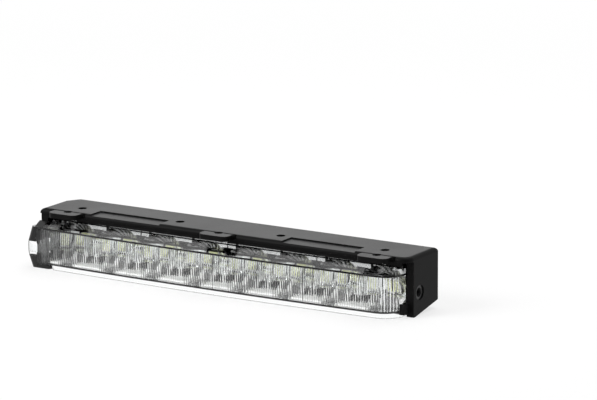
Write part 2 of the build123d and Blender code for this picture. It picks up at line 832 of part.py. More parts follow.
# Circuit on the board, above the back plates of the reflectors
with BuildPart() as resistors:
    with BuildSketch(Plane.XZ.offset(-board_front)):
        with Locations([(x, circuit_z) for x in led_places]):
            Rectangle(resistor_length, resistor_width)
    extrude(amount=resistor_height)
save(resistors, "resistors")

with BuildPart() as regulators:
    with BuildSketch(Plane.XZ.offset(-board_front)):
        with Locations([(x, circuit_z) for x in (-regulator_x, regulator_x)]):
            Rectangle(regulator_length, regulator_width)
    extrude(amount=regulator_height)
save(regulators, "regulators")

with BuildPart() as input_diode:
    with BuildSketch(Plane.XZ.offset(-board_front)):
        with Locations((diode_x, circuit_z)):
            Rectangle(diode_length, diode_width)
    extrude(amount=diode_height)
save(input_diode, "input_diode")

with BuildPart() as input_capacitor:
    with BuildSketch(Plane.XZ.offset(-board_front)):
        with Locations((capacitor_x, circuit_z)):
            Circle(capacitor_diameter / 2)
    extrude(amount=capacitor_height)
save(input_capacitor, "input_capacitor")

with BuildPart() as wire_header:
    with BuildSketch(Plane.XZ.offset(-board_front)):
        with Locations((header_x, circuit_z)):
            Rectangle(header_length, header_width)
    extrude(amount=header_height)
save(wire_header, "wire_header")

# Rear ports: the cord's grommet and the vent plug
with BuildPart() as cable_grommet:
    with BuildSketch(Plane.XZ.offset(-carrier_back)):
        with Locations((0, sink_middle)):
            Circle(grommet_diameter / 2)
            Circle(grommet_bore / 2, mode=Mode.SUBTRACT)
    extrude(amount=-sink_plate - fin_depth)
    with BuildSketch(Plane.XZ.offset(-fin_tip)):
        with Locations((0, sink_middle)):
            Circle(grommet_flange / 2)
            Circle(grommet_bore / 2, mode=Mode.SUBTRACT)
    extrude(amount=-flange_thickness)
save(cable_grommet, "cable_grommet")

with BuildPart() as vent_plug:
    with BuildSketch(Plane.XZ.offset(-fin_tip)):
        with Locations((vent_x, sink_middle)):
            Circle(vent_diameter / 2)
    extrude(amount=-vent_thickness)
save(vent_plug, "vent_plug")

# Threaded inserts in the end walls
for name, outer, inward in (
    ("side_insert_right", half_length - insert_sink, insert_sink - wall_thickness),
    ("side_insert_left", insert_sink - half_length, wall_thickness - insert_sink),
):
    with BuildPart() as side_insert:
        with BuildSketch(Plane.YZ.offset(outer)):
            with Locations((insert_y, insert_z)):
                Circle(insert_diameter / 2)
                Circle(insert_bore / 2, mode=Mode.SUBTRACT)
        extrude(amount=inward)
    save(side_insert, name)

# Screws: board to heat sink, lamp to housing
with BuildPart() as board_screws:
    with BuildSketch(Plane.XZ.offset(-board_front)):
        with Locations([(x, circuit_z) for x in reflector_places]):
            Circle(board_screw_head / 2)
    extrude(amount=board_screw_head_height)
    with BuildSketch(Plane.XZ.offset(-board_front)):
        with Locations([(x, circuit_z) for x in reflector_places]):
            Circle(board_screw_diameter / 2)
    extrude(amount=-board_screw_length)
save(board_screws, "board_screws")

with BuildPart() as carrier_screws:
    with BuildSketch(Plane.XZ.offset(-screw_seat)):
        with Locations(boss_places):
            Circle(carrier_screw_head / 2)
    extrude(amount=-carrier_screw_head_height)
    with BuildSketch(Plane.XZ.offset(-screw_seat)):
        with Locations(boss_places):
            Circle(carrier_screw_diameter / 2)
    extrude(amount=carrier_screw_length)
save(carrier_screws, "carrier_screws")
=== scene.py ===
"""Daytime running light: the finish of its pieces, small fittings, a plain studio and the camera."""
import json
import math
import bpy
from mathutils import Matrix, Vector


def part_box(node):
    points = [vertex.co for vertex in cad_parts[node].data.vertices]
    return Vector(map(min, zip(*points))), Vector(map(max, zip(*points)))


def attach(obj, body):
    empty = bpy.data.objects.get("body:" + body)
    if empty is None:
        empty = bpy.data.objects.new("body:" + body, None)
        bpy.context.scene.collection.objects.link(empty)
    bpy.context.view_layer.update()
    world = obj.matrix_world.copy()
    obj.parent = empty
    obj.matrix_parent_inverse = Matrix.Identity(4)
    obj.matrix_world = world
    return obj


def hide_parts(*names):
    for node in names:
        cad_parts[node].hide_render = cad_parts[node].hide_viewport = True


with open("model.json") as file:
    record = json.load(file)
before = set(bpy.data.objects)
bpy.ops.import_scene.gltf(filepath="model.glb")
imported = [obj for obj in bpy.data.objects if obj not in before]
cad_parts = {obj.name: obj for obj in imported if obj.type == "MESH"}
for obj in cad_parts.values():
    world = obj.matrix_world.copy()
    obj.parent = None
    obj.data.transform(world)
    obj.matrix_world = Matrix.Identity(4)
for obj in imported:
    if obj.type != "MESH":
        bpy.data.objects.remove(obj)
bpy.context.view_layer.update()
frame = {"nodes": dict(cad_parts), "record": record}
nodes = frame["nodes"]

MM = 0.001


def grey(value):
    """A grey of this value."""
    return (value, value, value)


# Camera, fitted to the photograph
IMAGE_WIDTH_PX = 597
FOCAL_PX = 3737.6
SENSOR_MM = 36.0
CAMERA_AZIMUTH = 31.903
CAMERA_ELEVATION = 12.697
CAMERA_ROLL = -0.27
CAMERA_DISTANCE = 1.6899
CAMERA_AIM = Vector((0.0379, -0.0014, 0.0461))

# Studio: reflections and the lens see it dimmer on the dark side, and the floor keeps a share of the shadow
WHITE = (1, 1, 1, 1)
FLOOR_SIZE = 8.0
FLOOR_COLOUR = (0.94, 0.94, 0.94, 1)
SHADOW_SHARE = 0.3
SHADOW_REACH = (0.3, 0.8)
SHADOW_SHARE_THROUGH_LENS = 0.6
WORLD_LIGHT = 0.35
DARK_SIDE = (0.45, -0.85, 0.25)
DARK_SIDE_EDGES = (0.3, 0.85)
DARK_SIDE_LIGHT = 0.2
LAMPS = {
    "top_lamp": {"place": (0.1, 0.35, 1.2), "size": 1.0, "watts": 9.0},
    "front_lamp": {"place": (-0.9, -1.1, 1.0), "size": 0.9, "watts": 17.0},
    "back_lamp": {"place": (-0.9, 1.4, 0.45), "size": 0.8, "watts": 2.8},
}

# Plastics and rubber: tones of the body and of the painted highlight on edges, ranges of roughness, grain per
# metre
PLASTICS = {
    "housing_plastic": {
        "dark": grey(0.004), "light": grey(0.007), "edge_highlight": grey(0.025), "gloss": (0.34, 0.46),
        "specular": 0.05, "grain": 2200.0, "depth": 0.012 * MM, "edge": 0.35 * MM,
    },
    "cap_plastic": {
        "dark": grey(0.006), "light": grey(0.010), "edge_highlight": grey(0.04), "gloss": (0.2, 0.3),
        "specular": 0.3, "grain": 1200.0, "depth": 0.004 * MM, "edge": 0.3 * MM,
    },
    "carrier_plastic": {
        "dark": grey(0.008), "light": grey(0.012), "edge_highlight": grey(0.03), "gloss": (0.4, 0.55),
        "specular": 0.2, "grain": 2000.0, "depth": 0.012 * MM, "edge": 0.25 * MM,
    },
    "seal_rubber": {
        "dark": grey(0.010), "light": grey(0.022), "edge_highlight": grey(0.03), "gloss": (0.6, 0.8),
        "specular": 0.2, "grain": 3500.0, "depth": 0.02 * MM, "edge": 0.25 * MM,
    },
    "component_black": {
        "dark": grey(0.012), "light": (0.02, 0.02, 0.022), "edge_highlight": grey(0.05), "gloss": (0.45, 0.6),
        "specular": 0.3, "grain": 4500.0, "depth": 0.008 * MM, "edge": 0.12 * MM,
    },
    "header_plastic": {
        "dark": (0.70, 0.68, 0.60), "light": (0.80, 0.79, 0.74), "edge_highlight": (0.85, 0.84, 0.80),
        "gloss": (0.3, 0.4), "specular": 0.4, "grain": 2500.0, "depth": 0.005 * MM, "edge": 0.15 * MM,
    },
    "pad_silicone": {
        "dark": (0.30, 0.33, 0.37), "light": (0.38, 0.41, 0.45), "edge_highlight": (0.42, 0.45, 0.50),
        "gloss": (0.6, 0.75), "specular": 0.3, "grain": 3000.0, "depth": 0.02 * MM, "edge": 0.15 * MM,
    },
    "led_package": {
        "dark": (0.78, 0.78, 0.74), "light": (0.86, 0.86, 0.83), "edge_highlight": (0.90, 0.90, 0.88),
        "gloss": (0.35, 0.5), "specular": 0.5, "grain": 5000.0, "depth": 0.006 * MM, "edge": 0.1 * MM,
    },
}

# Drawn and plated metals: tones, ranges of roughness, lines per metre
METAL_SOFT_EDGE = 0.2 * MM
METALS = {
    "sink_aluminium": {
        "dark": (0.50, 0.50, 0.51), "light": (0.64, 0.64, 0.65), "gloss": (0.28, 0.45),
        "across": 5000.0, "depth": 0.01 * MM,
    },
    "capacitor_can": {
        "dark": (0.66, 0.66, 0.67), "light": (0.78, 0.78, 0.79), "gloss": (0.2, 0.32),
        "across": 6000.0, "depth": 0.004 * MM,
    },
    "screw_steel": {
        "dark": (0.50, 0.50, 0.50), "light": (0.62, 0.62, 0.60), "gloss": (0.22, 0.38),
        "across": 7000.0, "depth": 0.004 * MM,
    },
    "insert_steel": {
        "dark": (0.035, 0.035, 0.036), "light": grey(0.07), "gloss": (0.3, 0.45),
        "across": 7000.0, "depth": 0.004 * MM,
    },
}

# Effects that several finishes share
EDGE_SAMPLES = 6
# Facing values at which a spot is off and fully on the edge mask for painted highlight and shade
EDGE_MASK_FACING = (1.0, 0.8)
FINE_GLOSS_SHARE = 0.35
SMEARS_GLOSS_SHARE = 0.5

# Reflectors: the coat has painted shade with painted streaks of reflection in the upper half, a painted shade
# that makes it greyer on the visors, and it ends below the bowls at bare white plastic, with painted shade
# behind the notches
COAT_TONES = ((0.88, 0.90, 0.90), (0.93, 0.94, 0.93))
COAT_GLOSS = (0.22, 0.32)
COAT_SKIN = {"Grain": 700.0, "Clouds": 90.0}
COAT_EDGE = 6.6 * MM
COAT_FADE = 0.15 * MM
UPPER_SHADE_TONES = (grey(0.01), grey(0.24))
UPPER_SHADE_EDGE = 13.0 * MM
UPPER_SHADE_FADE = 0.5 * MM
REFLECTION_STREAKS = 20
STREAK_FADE = 0.6
VISOR_SHADE = grey(0.7)
VISOR_BACK = -1.5 * MM
VISOR_BOTTOM = 17.6 * MM
VISOR_FADE = 0.1 * MM
BARE_TONES = ((0.84, 0.84, 0.83), (0.90, 0.90, 0.89))
BARE_GLOSS = (0.3, 0.45)
NOTCH_SHADE_COLOUR = grey(0.16)
NOTCH_SHADE = 4.6 * MM
NOTCH_BACK = -5.0 * MM
NOTCH_FADE = 0.6 * MM
ORANGE_PEEL = 0.012 * MM

# The lens is clear, with painted shade at the sharp edges of its skirt and a painted dark line of shade along
# the top of its front, which lies a drop below the top of the lens
LENS_COLOUR = (0.975, 0.985, 0.985)
LENS_GLOSS = (0.0, 0.02)
LENS_SKIN = {"Grain": 900.0, "Clouds": 40.0}
LENS_INDEX = 1.5
LENS_RIPPLE = 0.0008 * MM
SKIRT_EDGE_SHADE = grey(0.1)
SKIRT_EDGE = 0.5 * MM
SKIRT_EDGE_START = 0.08
SKIRT_EDGE_FADE = 0.06
SKIRT_TOP = 1.6 * MM
SKIRT_FADE = 0.3 * MM
BROW_SHADE = grey(0.004)
BROW_DROP = 4.05 * MM
BROW_REACH = 0.4 * MM
BROW_FADE = 0.1 * MM

# LEDs, board and vent
PHOSPHOR_TONES = ((0.70, 0.74, 0.38), (0.84, 0.85, 0.50))
PHOSPHOR_GLOSS = (0.35, 0.55)
PHOSPHOR_SKIN = {"Grain": 6000.0, "Clouds": 900.0}
PHOSPHOR_GRAIN = 0.02 * MM
SILICONE_WEIGHT = (0.3, 0.5)
MASK_TONES = ((0.010, 0.012, 0.011), (0.018, 0.020, 0.019))
MASK_GLOSS = (0.35, 0.5)
MASK_SPECULAR = 0.15
MASK_SKIN = {"Grain": 5000.0, "Clouds": 120.0}
TRACK_COLOUR = (0.03, 0.035, 0.03)
TRACK_HEIGHT = 0.03 * MM
TRACK_LAYOUT = {"Scale": 160.0, "Mortar Size": 0.06, "Brick Width": 1.4, "Row Height": 0.5}
VENT_TONES = (grey(0.03), grey(0.14))
VENT_GLOSS = (0.6, 0.8)
VENT_WEAVE = 700.0
VENT_THREAD = 0.05 * MM

# Fittings that repeat, in millimetres
LED_COUNT = 8
INSERT_BORE_RADIUS = 2.1
INSERT_THREAD = {"Radius": INSERT_BORE_RADIUS, "Ridge": 0.22, "Pitch": 0.7}
THREAD_STEPS = 36
RIDGE_SIDES = 3
PIN_OFFSET = -6.9
PIN_INSET = 1.6
PIN_TIP = 16.6
PIN_HEAD = {"Radius": 1.35, "Round": 0.4}
PIN_HEAD_SIDES = 24
PIN_HEAD_RINGS = 12
PIN_ROLL_SIDES = 10
LED_SOLDER = {"Length": 0.8, "Width": 4.0, "Height": 0.5}
RESISTOR_SOLDER = {"Length": 0.7, "Width": 1.7, "Height": 0.55}
RESISTOR_LENGTH = 3.2
SOLDER_WEDGE = {
    "Vertices": 4, "Side Segments": 2, "Radius Top": 0.35, "Radius Bottom": math.sqrt(0.5), "Depth": 1.0,
}
SOLDER_ROUNDING = {"Level": 2, "Edge Crease": 0.5}
SCREW_SIDES = 32
DOME_RINGS = 16
DOME_SHARE = 1.25
DRIVE_LENGTH_SHARE = 1.1
DRIVE_WIDTH_SHARE = 0.24
DRIVE_DEPTH_SHARE = 1.3
CARRIER_SCREW = {"Head Radius": 2.75, "Head Height": 1.8, "Shank Radius": 1.5}
BOARD_SCREW = {"Head Radius": 2.2, "Head Height": 1.4, "Shank Radius": 1.25}

# Turns that point a fitting's axis up, to the front, to the back or along the lamp
UPRIGHT = (0.0, 0.0, 0.0)
FORWARD = (math.radians(90), 0.0, 0.0)
BACKWARD = (math.radians(-90), 0.0, 0.0)
SIDEWAYS = (0.0, math.radians(90), 0.0)


# Nodes

def place_node(tree, kind, inputs=None, **settings):
    """A node with its settings, and with each named input set to a value or linked from an output."""
    made = tree.nodes.new(kind)
    for name, value in settings.items():
        setattr(made, name, value)
    set_inputs(tree, made, inputs or {})
    return made


def set_inputs(tree, target, inputs):
    """Sets inputs of a node to values, or links them from an output or a list of outputs."""
    for socket, value in inputs.items():
        if isinstance(value, bpy.types.NodeSocket):
            tree.links.new(value, target.inputs[socket])
        elif isinstance(value, list):
            for source in value:
                tree.links.new(source, target.inputs[socket])
        else:
            target.inputs[socket].default_value = value


def maths(tree, operation, *values):
    """The result of an operation on one to three values."""
    return place_node(tree, "ShaderNodeMath", dict(enumerate(values)), operation=operation).outputs[0]


def larger(tree, first, second):
    """The larger of two values."""
    return maths(tree, "MAXIMUM", first, second)


def times(tree, value, factor):
    """A value times a factor."""
    return maths(tree, "MULTIPLY", value, factor)


def carried(tree, value, start, end, low=0.0, high=1.0, change="LINEAR"):
    """A value that runs from low to high while another runs from start to end."""
    inputs = {"Value": value, "From Min": start, "From Max": end, "To Min": low, "To Max": high}
    return place_node(tree, "ShaderNodeMapRange", inputs, interpolation_type=change).outputs["Result"]


def span(tree, mask, low, high):
    """A value that runs from low to high with a mask."""
    return carried(tree, mask, 0.0, 1.0, low, high)


def beyond(tree, value, edge, fade):
    """A mask of where a value lies beyond an edge, with a soft change over it."""
    return carried(tree, value, edge - fade, edge + fade)


def short_of(tree, value, edge, fade):
    """A mask of where a value lies short of an edge, with a soft change over it."""
    return carried(tree, value, edge - fade, edge + fade, 1.0, 0.0)


def mixed(tree, mask, low, high):
    """A value between two others."""
    return place_node(tree, "ShaderNodeMix", {"Factor": mask, "A": low, "B": high}).outputs["Result"]


def opaque(colour):
    """A colour with its alpha, or the output that gives it."""
    return colour if isinstance(colour, bpy.types.NodeSocket) else (*colour, 1)


def tint(tree, mask, low, high):
    """A colour that runs from low to high with a mask."""
    inputs = {"Factor": mask, 6: opaque(low), 7: opaque(high)}
    return place_node(tree, "ShaderNodeMix", inputs, data_type="RGBA").outputs[2]


def along(tree, x=0.0, y=0.0, z=0.0):
    """A vector of three values."""
    return place_node(tree, "ShaderNodeCombineXYZ", {"X": x, "Y": y, "Z": z}).outputs["Vector"]


def on_object(tree):
    """The place of a spot on the object."""
    return place_node(tree, "ShaderNodeTexCoord").outputs["Object"]


def noise(tree, place, scale, detail=2.0):
    """Soft noise, with a scale per metre."""
    inputs = {"Vector": place, "Scale": scale, "Detail": detail}
    return place_node(tree, "ShaderNodeTexNoise", inputs).outputs["Fac"]


def bump(tree, height, depth, normal=None):
    """A bump of this depth in metres."""
    inputs = {"Height": height, "Strength": 1.0, "Distance": depth}
    if normal:
        inputs["Normal"] = normal
    return place_node(tree, "ShaderNodeBump", inputs).outputs["Normal"]


def show_mix(tree, output, share, first, second):
    """Shows two shaders, mixed by a share, at an output."""
    mix = place_node(tree, "ShaderNodeMixShader", {"Fac": share, 1: first.outputs[0], 2: second.outputs[0]})
    set_inputs(tree, tree.nodes[output], {"Surface": mix.outputs[0]})


def new_finish(name):
    """A new material with its tree and its shader."""
    material = bpy.data.materials.new(name)
    material.use_nodes = True
    return material, material.node_tree, material.node_tree.nodes["Principled BSDF"]


# Camera and studio

def camera_axes(azimuth, elevation, roll):
    """Right, up and back of a camera at these angles, in degrees."""
    a, e, r = (math.radians(angle) for angle in (azimuth, elevation, roll))
    back = Vector((math.sin(a) * math.cos(e), -math.cos(a) * math.cos(e), math.sin(e)))
    level = Vector((math.cos(a), math.sin(a), 0))
    upright = back.cross(level)
    right = math.cos(r) * level + math.sin(r) * upright
    return right, back.cross(right), back


def add_camera():
    """The camera at the photograph's viewing angle."""
    right, up, back = camera_axes(CAMERA_AZIMUTH, CAMERA_ELEVATION, CAMERA_ROLL)
    data = bpy.data.cameras.new("camera")
    data.sensor_width = SENSOR_MM
    data.lens = SENSOR_MM * FOCAL_PX / IMAGE_WIDTH_PX
    camera = bpy.data.objects.new("camera", data)
    camera.matrix_world = Matrix((right, up, back)).transposed().to_4x4()
    camera.location = CAMERA_AIM + back * CAMERA_DISTANCE
    bpy.context.scene.collection.objects.link(camera)
    bpy.context.scene.camera = camera


def add_lamp(name, place, size, watts):
    """A soft square lamp that looks at the object."""
    data = bpy.data.lights.new(name, "AREA")
    data.size = size
    data.energy = watts
    lamp = bpy.data.objects.new(name, data)
    lamp.location = place
    lamp.rotation_euler = (-Vector(place)).to_track_quat("-Z", "Y").to_euler()
    bpy.context.scene.collection.objects.link(lamp)


def add_world():
    """Even light all round, which is white to the eye and dimmer on the dark side to metal and lens."""
    world = bpy.data.worlds.new("studio")
    world.use_nodes = True
    tree = world.node_tree
    light = tree.nodes["Background"]
    set_inputs(tree, light, {"Color": WHITE, "Strength": WORLD_LIGHT})
    path = place_node(tree, "ShaderNodeLightPath").outputs
    direction = place_node(tree, "ShaderNodeTexCoord").outputs["Generated"]
    dark_way = Vector(DARK_SIDE).normalized()
    ahead = place_node(tree, "ShaderNodeVectorMath", {0: direction, 1: dark_way}, operation="DOT_PRODUCT")
    dim = carried(tree, ahead.outputs["Value"], *DARK_SIDE_EDGES, 1.0, DARK_SIDE_LIGHT, "SMOOTHSTEP")
    strength = larger(tree, dim, path["Is Camera Ray"])
    white = place_node(tree, "ShaderNodeBackground", {"Color": WHITE, "Strength": strength})
    bent = larger(tree, path["Is Glossy Ray"], path["Is Transmission Ray"])
    seen = larger(tree, path["Is Camera Ray"], bent)
    show_mix(tree, "World Output", seen, light, white)
    bpy.context.scene.world = world


def add_floor():
    """A pale floor that keeps a share of the lamp's shadow near it and is white far off."""
    half = FLOOR_SIZE / 2
    mesh = bpy.data.meshes.new("floor")
    corners = [(-half, -half, 0), (half, -half, 0), (half, half, 0), (-half, half, 0)]
    mesh.from_pydata(corners, [], [(0, 1, 2, 3)])
    floor = bpy.data.objects.new("floor", mesh)
    material, tree, paper = new_finish("floor_paper")
    set_inputs(tree, paper, {"Base Color": FLOOR_COLOUR, "Roughness": 1.0, "Specular IOR Level": 0.0})
    white = place_node(tree, "ShaderNodeEmission", {"Color": WHITE})
    path = place_node(tree, "ShaderNodeLightPath").outputs
    distance = place_node(tree, "ShaderNodeVectorMath", {0: on_object(tree)}, operation="LENGTH")
    plain = carried(tree, distance.outputs["Value"], *SHADOW_REACH, 1 - SHADOW_SHARE, 1.0)
    direct = times(tree, path["Is Camera Ray"], plain)
    through = times(tree, path["Is Transmission Ray"], 1 - SHADOW_SHARE_THROUGH_LENS)
    seen = larger(tree, path["Is Glossy Ray"], larger(tree, direct, through))
    show_mix(tree, "Material Output", seen, paper, white)
    mesh.materials.append(material)
    bpy.context.scene.collection.objects.link(floor)


# Effects that several finishes share

def new_group(name, inputs, outputs):
    """An empty shader group with named value inputs and outputs."""
    group = bpy.data.node_groups.new(name, "ShaderNodeTree")
    for label, value in inputs.items():
        socket = group.interface.new_socket(label, in_out="INPUT", socket_type="NodeSocketFloat")
        socket.default_value = value
    for label, kind in outputs.items():
        group.interface.new_socket(label, in_out="OUTPUT", socket_type=kind)
    entry = group.nodes.new("NodeGroupInput")
    leave = group.nodes.new("NodeGroupOutput")
    return group, entry.outputs, leave


def mould_grain_group():
    """Fine spark-eroded grain of a mould, with cloudy changes of gloss and tone."""
    floats = {"Height": "NodeSocketFloat", "Gloss": "NodeSocketFloat", "Tone": "NodeSocketFloat"}
    group, given, leave = new_group("mould_grain", {"Grain": 2500.0, "Clouds": 60.0}, floats)
    place = on_object(group)
    fine = noise(group, place, given["Grain"], 3.0)
    broad = noise(group, place, given["Clouds"], 4.0)
    gloss = mixed(group, FINE_GLOSS_SHARE, broad, fine)
    set_inputs(group, leave, {"Height": fine, "Gloss": gloss, "Tone": broad})
    return group


def soft_edge_group():
    """Rounds sharp edges in the light and gives a patchy mask of the edges, on which highlight or shade is
    painted.
    """
    kinds = {"Normal": "NodeSocketVector", "Painted Edge": "NodeSocketFloat"}
    group, given, leave = new_group("soft_edge", {"Radius": 0.3 * MM, "Patches": 400.0}, kinds)
    bevel = place_node(group, "ShaderNodeBevel", {"Radius": given["Radius"]}, samples=EDGE_SAMPLES)
    normal = bevel.outputs["Normal"]
    flat = place_node(group, "ShaderNodeNewGeometry").outputs["Normal"]
    facing = place_node(group, "ShaderNodeVectorMath", {0: normal, 1: flat}, operation="DOT_PRODUCT")
    edge = carried(group, facing.outputs["Value"], *EDGE_MASK_FACING)
    patches = noise(group, on_object(group), given["Patches"])
    # Patchy edge mask, for painted highlight and painted shade on edges
    set_inputs(group, leave, {"Normal": normal, "Painted Edge": times(group, edge, patches)})
    return group


def drawn_lines_group():
    """Fine lines along the lamp, as extrusion and drawing leave them in metal."""
    kinds = {"Height": "NodeSocketFloat", "Gloss": "NodeSocketFloat"}
    group, given, leave = new_group("drawn_lines", {"Across": 4000.0, "Along": 30.0}, kinds)
    place = on_object(group)
    scale = along(group, given["Along"], given["Across"], given["Across"])
    stretched = place_node(group, "ShaderNodeVectorMath", {0: place, 1: scale}, operation="MULTIPLY")
    lines = noise(group, stretched.outputs[0], 1.0, 2.0)
    smears = noise(group, place, given["Along"], 3.0)
    gloss = mixed(group, SMEARS_GLOSS_SHARE, lines, smears)
    set_inputs(group, leave, {"Height": lines, "Gloss": gloss})
    return group


MOULD_GRAIN = mould_grain_group()
SOFT_EDGE = soft_edge_group()
DRAWN_LINES = drawn_lines_group()


# Finishes

def grained(tree, scales):
    """The mould's grain and clouds, with scales per metre."""
    return place_node(tree, "ShaderNodeGroup", scales, node_tree=MOULD_GRAIN).outputs


def softened(tree, radius):
    """Soft edges of this radius."""
    return place_node(tree, "ShaderNodeGroup", {"Radius": radius}, node_tree=SOFT_EDGE).outputs


def moulded_plastic(name, dark, light, edge_highlight, gloss, specular, grain, depth, edge):
    """Moulded plastic: grain from the mould, uneven gloss and a painted highlight in patches on its edges."""
    material, tree, shader = new_finish(name)
    skin = grained(tree, {"Grain": grain})
    edges = softened(tree, edge)
    body = tint(tree, skin["Tone"], dark, light)
    # The edge colour is a painted highlight, laid over the body at its edges
    set_inputs(tree, shader, {
        "Base Color": tint(tree, edges["Painted Edge"], body, edge_highlight),
        "Roughness": span(tree, skin["Gloss"], *gloss),
        "Specular IOR Level": specular,
        "Normal": bump(tree, skin["Height"], depth, edges["Normal"]),
    })
    return material


def drawn_metal(name, dark, light, gloss, across, depth):
    """Drawn, rolled or plated metal with fine lines along the lamp."""
    material, tree, shader = new_finish(name)
    lines = place_node(tree, "ShaderNodeGroup", {"Across": across}, node_tree=DRAWN_LINES).outputs
    edges = softened(tree, METAL_SOFT_EDGE)
    set_inputs(tree, shader, {
        "Base Color": tint(tree, lines["Gloss"], dark, light),
        "Metallic": 1.0,
        "Roughness": span(tree, lines["Gloss"], *gloss),
        "Normal": bump(tree, lines["Height"], depth, edges["Normal"]),
    })
    return material


def from_led(tree, spot):
    """How far a spot lies beside and above the LED of its own cell."""
    first, second = ((Vector(low) + Vector(high)) / 2 for low, high in (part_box("led_1"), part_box("led_2")))
    half = (second.x - first.x) / 2
    aside = maths(tree, "WRAP", maths(tree, "SUBTRACT", spot["X"], first.x), half, -half)
    above = maths(tree, "SUBTRACT", spot["Z"], first.z)
    return aside, above


def reflection_streaks(tree, aside, above):
    """A mask of rays round each LED, one to a facet of its bowl, for painted streaks of reflection."""
    angle = maths(tree, "ARCTAN2", above, aside)
    ray = maths(tree, "SINE", times(tree, angle, REFLECTION_STREAKS))
    return beyond(tree, ray, 0.0, STREAK_FADE)


def bright_metal():
    """Satin coat of the reflectors, with a slight orange peel, over bare white plastic."""
    material, tree, shader = new_finish("reflector_metal")
    skin = grained(tree, COAT_SKIN)
    spot = place_node(tree, "ShaderNodeSeparateXYZ", {"Vector": on_object(tree)}).outputs
    aside, above = from_led(tree, spot)
    behind_visor = beyond(tree, spot["Y"], VISOR_BACK, VISOR_FADE)
    below_visor = short_of(tree, spot["Z"], VISOR_BOTTOM, VISOR_FADE)
    bowl = larger(tree, behind_visor, below_visor)
    visor = span(tree, bowl, 1.0, 0.0)
    # Painted shade in the upper half of the bowls, with painted streaks of reflection from the facets
    upper_shade = times(tree, beyond(tree, spot["Z"], UPPER_SHADE_EDGE, UPPER_SHADE_FADE), bowl)
    painted_streaks = tint(tree, reflection_streaks(tree, aside, above), *UPPER_SHADE_TONES)
    # The visors get a painted shade, greyer than the rest of the coat
    bright = tint(tree, visor, tint(tree, skin["Tone"], *COAT_TONES), VISOR_SHADE)
    coat = tint(tree, upper_shade, bright, painted_streaks)
    # Painted shade on the bare plastic beside and behind each notch
    near_notch = short_of(tree, maths(tree, "ABSOLUTE", aside), NOTCH_SHADE, NOTCH_FADE)
    shade = times(tree, near_notch, beyond(tree, spot["Y"], NOTCH_BACK, NOTCH_FADE))
    bare = tint(tree, shade, tint(tree, skin["Tone"], *BARE_TONES), NOTCH_SHADE_COLOUR)
    coated = beyond(tree, spot["Z"], COAT_EDGE, COAT_FADE)
    bare_gloss = span(tree, skin["Gloss"], *BARE_GLOSS)
    coat_gloss = span(tree, skin["Gloss"], *COAT_GLOSS)
    set_inputs(tree, shader, {
        "Base Color": tint(tree, coated, bare, coat),
        "Metallic": coated,
        "Roughness": mixed(tree, coated, bare_gloss, coat_gloss),
        "Normal": bump(tree, skin["Height"], ORANGE_PEEL),
    })
    return material


def clear_lens():
    """Clear polished plastic with painted shade on the edges of its skirt and a painted dark line of shade on
    its front, which lets the lamps' light through to the inside.
    """
    material, tree, shader = new_finish("lens_clear")
    skin = grained(tree, LENS_SKIN)
    height = place_node(tree, "ShaderNodeSeparateXYZ", {"Vector": on_object(tree)}).outputs["Z"]
    skirt = short_of(tree, height, SKIRT_TOP, SKIRT_FADE)
    edge = beyond(tree, softened(tree, SKIRT_EDGE)["Painted Edge"], SKIRT_EDGE_START, SKIRT_EDGE_FADE)
    # Painted shade on the sharp edges of the skirt
    outlined = tint(tree, times(tree, edge, skirt), LENS_COLOUR, SKIRT_EDGE_SHADE)
    # A painted dark line of shade across the front of the lens, a drop below its top
    from_brow = maths(tree, "SUBTRACT", height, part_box("lens")[1][2] - BROW_DROP)
    brow_shade = short_of(tree, maths(tree, "ABSOLUTE", from_brow), BROW_REACH, BROW_FADE)
    set_inputs(tree, shader, {
        "Base Color": tint(tree, brow_shade, outlined, BROW_SHADE),
        "Roughness": span(tree, skin["Tone"], *LENS_GLOSS),
        "IOR": LENS_INDEX,
        "Transmission Weight": 1.0,
        "Normal": bump(tree, skin["Height"], LENS_RIPPLE),
    })
    through = place_node(tree, "ShaderNodeBsdfTransparent")
    shadow = place_node(tree, "ShaderNodeLightPath").outputs["Is Shadow Ray"]
    show_mix(tree, "Material Output", shadow, shader, through)
    return material


def led_phosphor():
    """Yellow phosphor grains under a thin clear silicone."""
    material, tree, shader = new_finish("led_phosphor")
    skin = grained(tree, PHOSPHOR_SKIN)
    set_inputs(tree, shader, {
        "Base Color": tint(tree, skin["Gloss"], *PHOSPHOR_TONES),
        "Roughness": span(tree, skin["Gloss"], *PHOSPHOR_GLOSS),
        "Coat Weight": span(tree, skin["Tone"], *SILICONE_WEIGHT),
        "Normal": bump(tree, skin["Height"], PHOSPHOR_GRAIN),
    })
    return material


def board_mask():
    """Dark solder mask with faint copper tracks under it."""
    material, tree, shader = new_finish("board_mask")
    skin = grained(tree, MASK_SKIN)
    flat = place_node(tree, "ShaderNodeMapping", {"Vector": on_object(tree), "Rotation": FORWARD})
    tracks = place_node(tree, "ShaderNodeTexBrick", {"Vector": flat.outputs["Vector"], **TRACK_LAYOUT})
    body = tint(tree, skin["Tone"], *MASK_TONES)
    set_inputs(tree, shader, {
        "Base Color": tint(tree, tracks.outputs["Fac"], body, TRACK_COLOUR),
        "Roughness": span(tree, skin["Gloss"], *MASK_GLOSS),
        "Specular IOR Level": MASK_SPECULAR,
        "Normal": bump(tree, tracks.outputs["Fac"], TRACK_HEIGHT),
    })
    return material


def woven_vent():
    """Woven membrane of the vent plug."""
    material, tree, shader = new_finish("vent_membrane")
    inputs = {"Vector": on_object(tree), "Scale": VENT_WEAVE}
    threads = [
        place_node(tree, "ShaderNodeTexWave", inputs, bands_direction=direction).outputs["Fac"]
        for direction in ("X", "Z")
    ]
    weave = larger(tree, *threads)
    set_inputs(tree, shader, {
        "Base Color": tint(tree, weave, *VENT_TONES),
        "Roughness": span(tree, weave, *VENT_GLOSS),
        "Normal": bump(tree, weave, VENT_THREAD),
    })
    return material


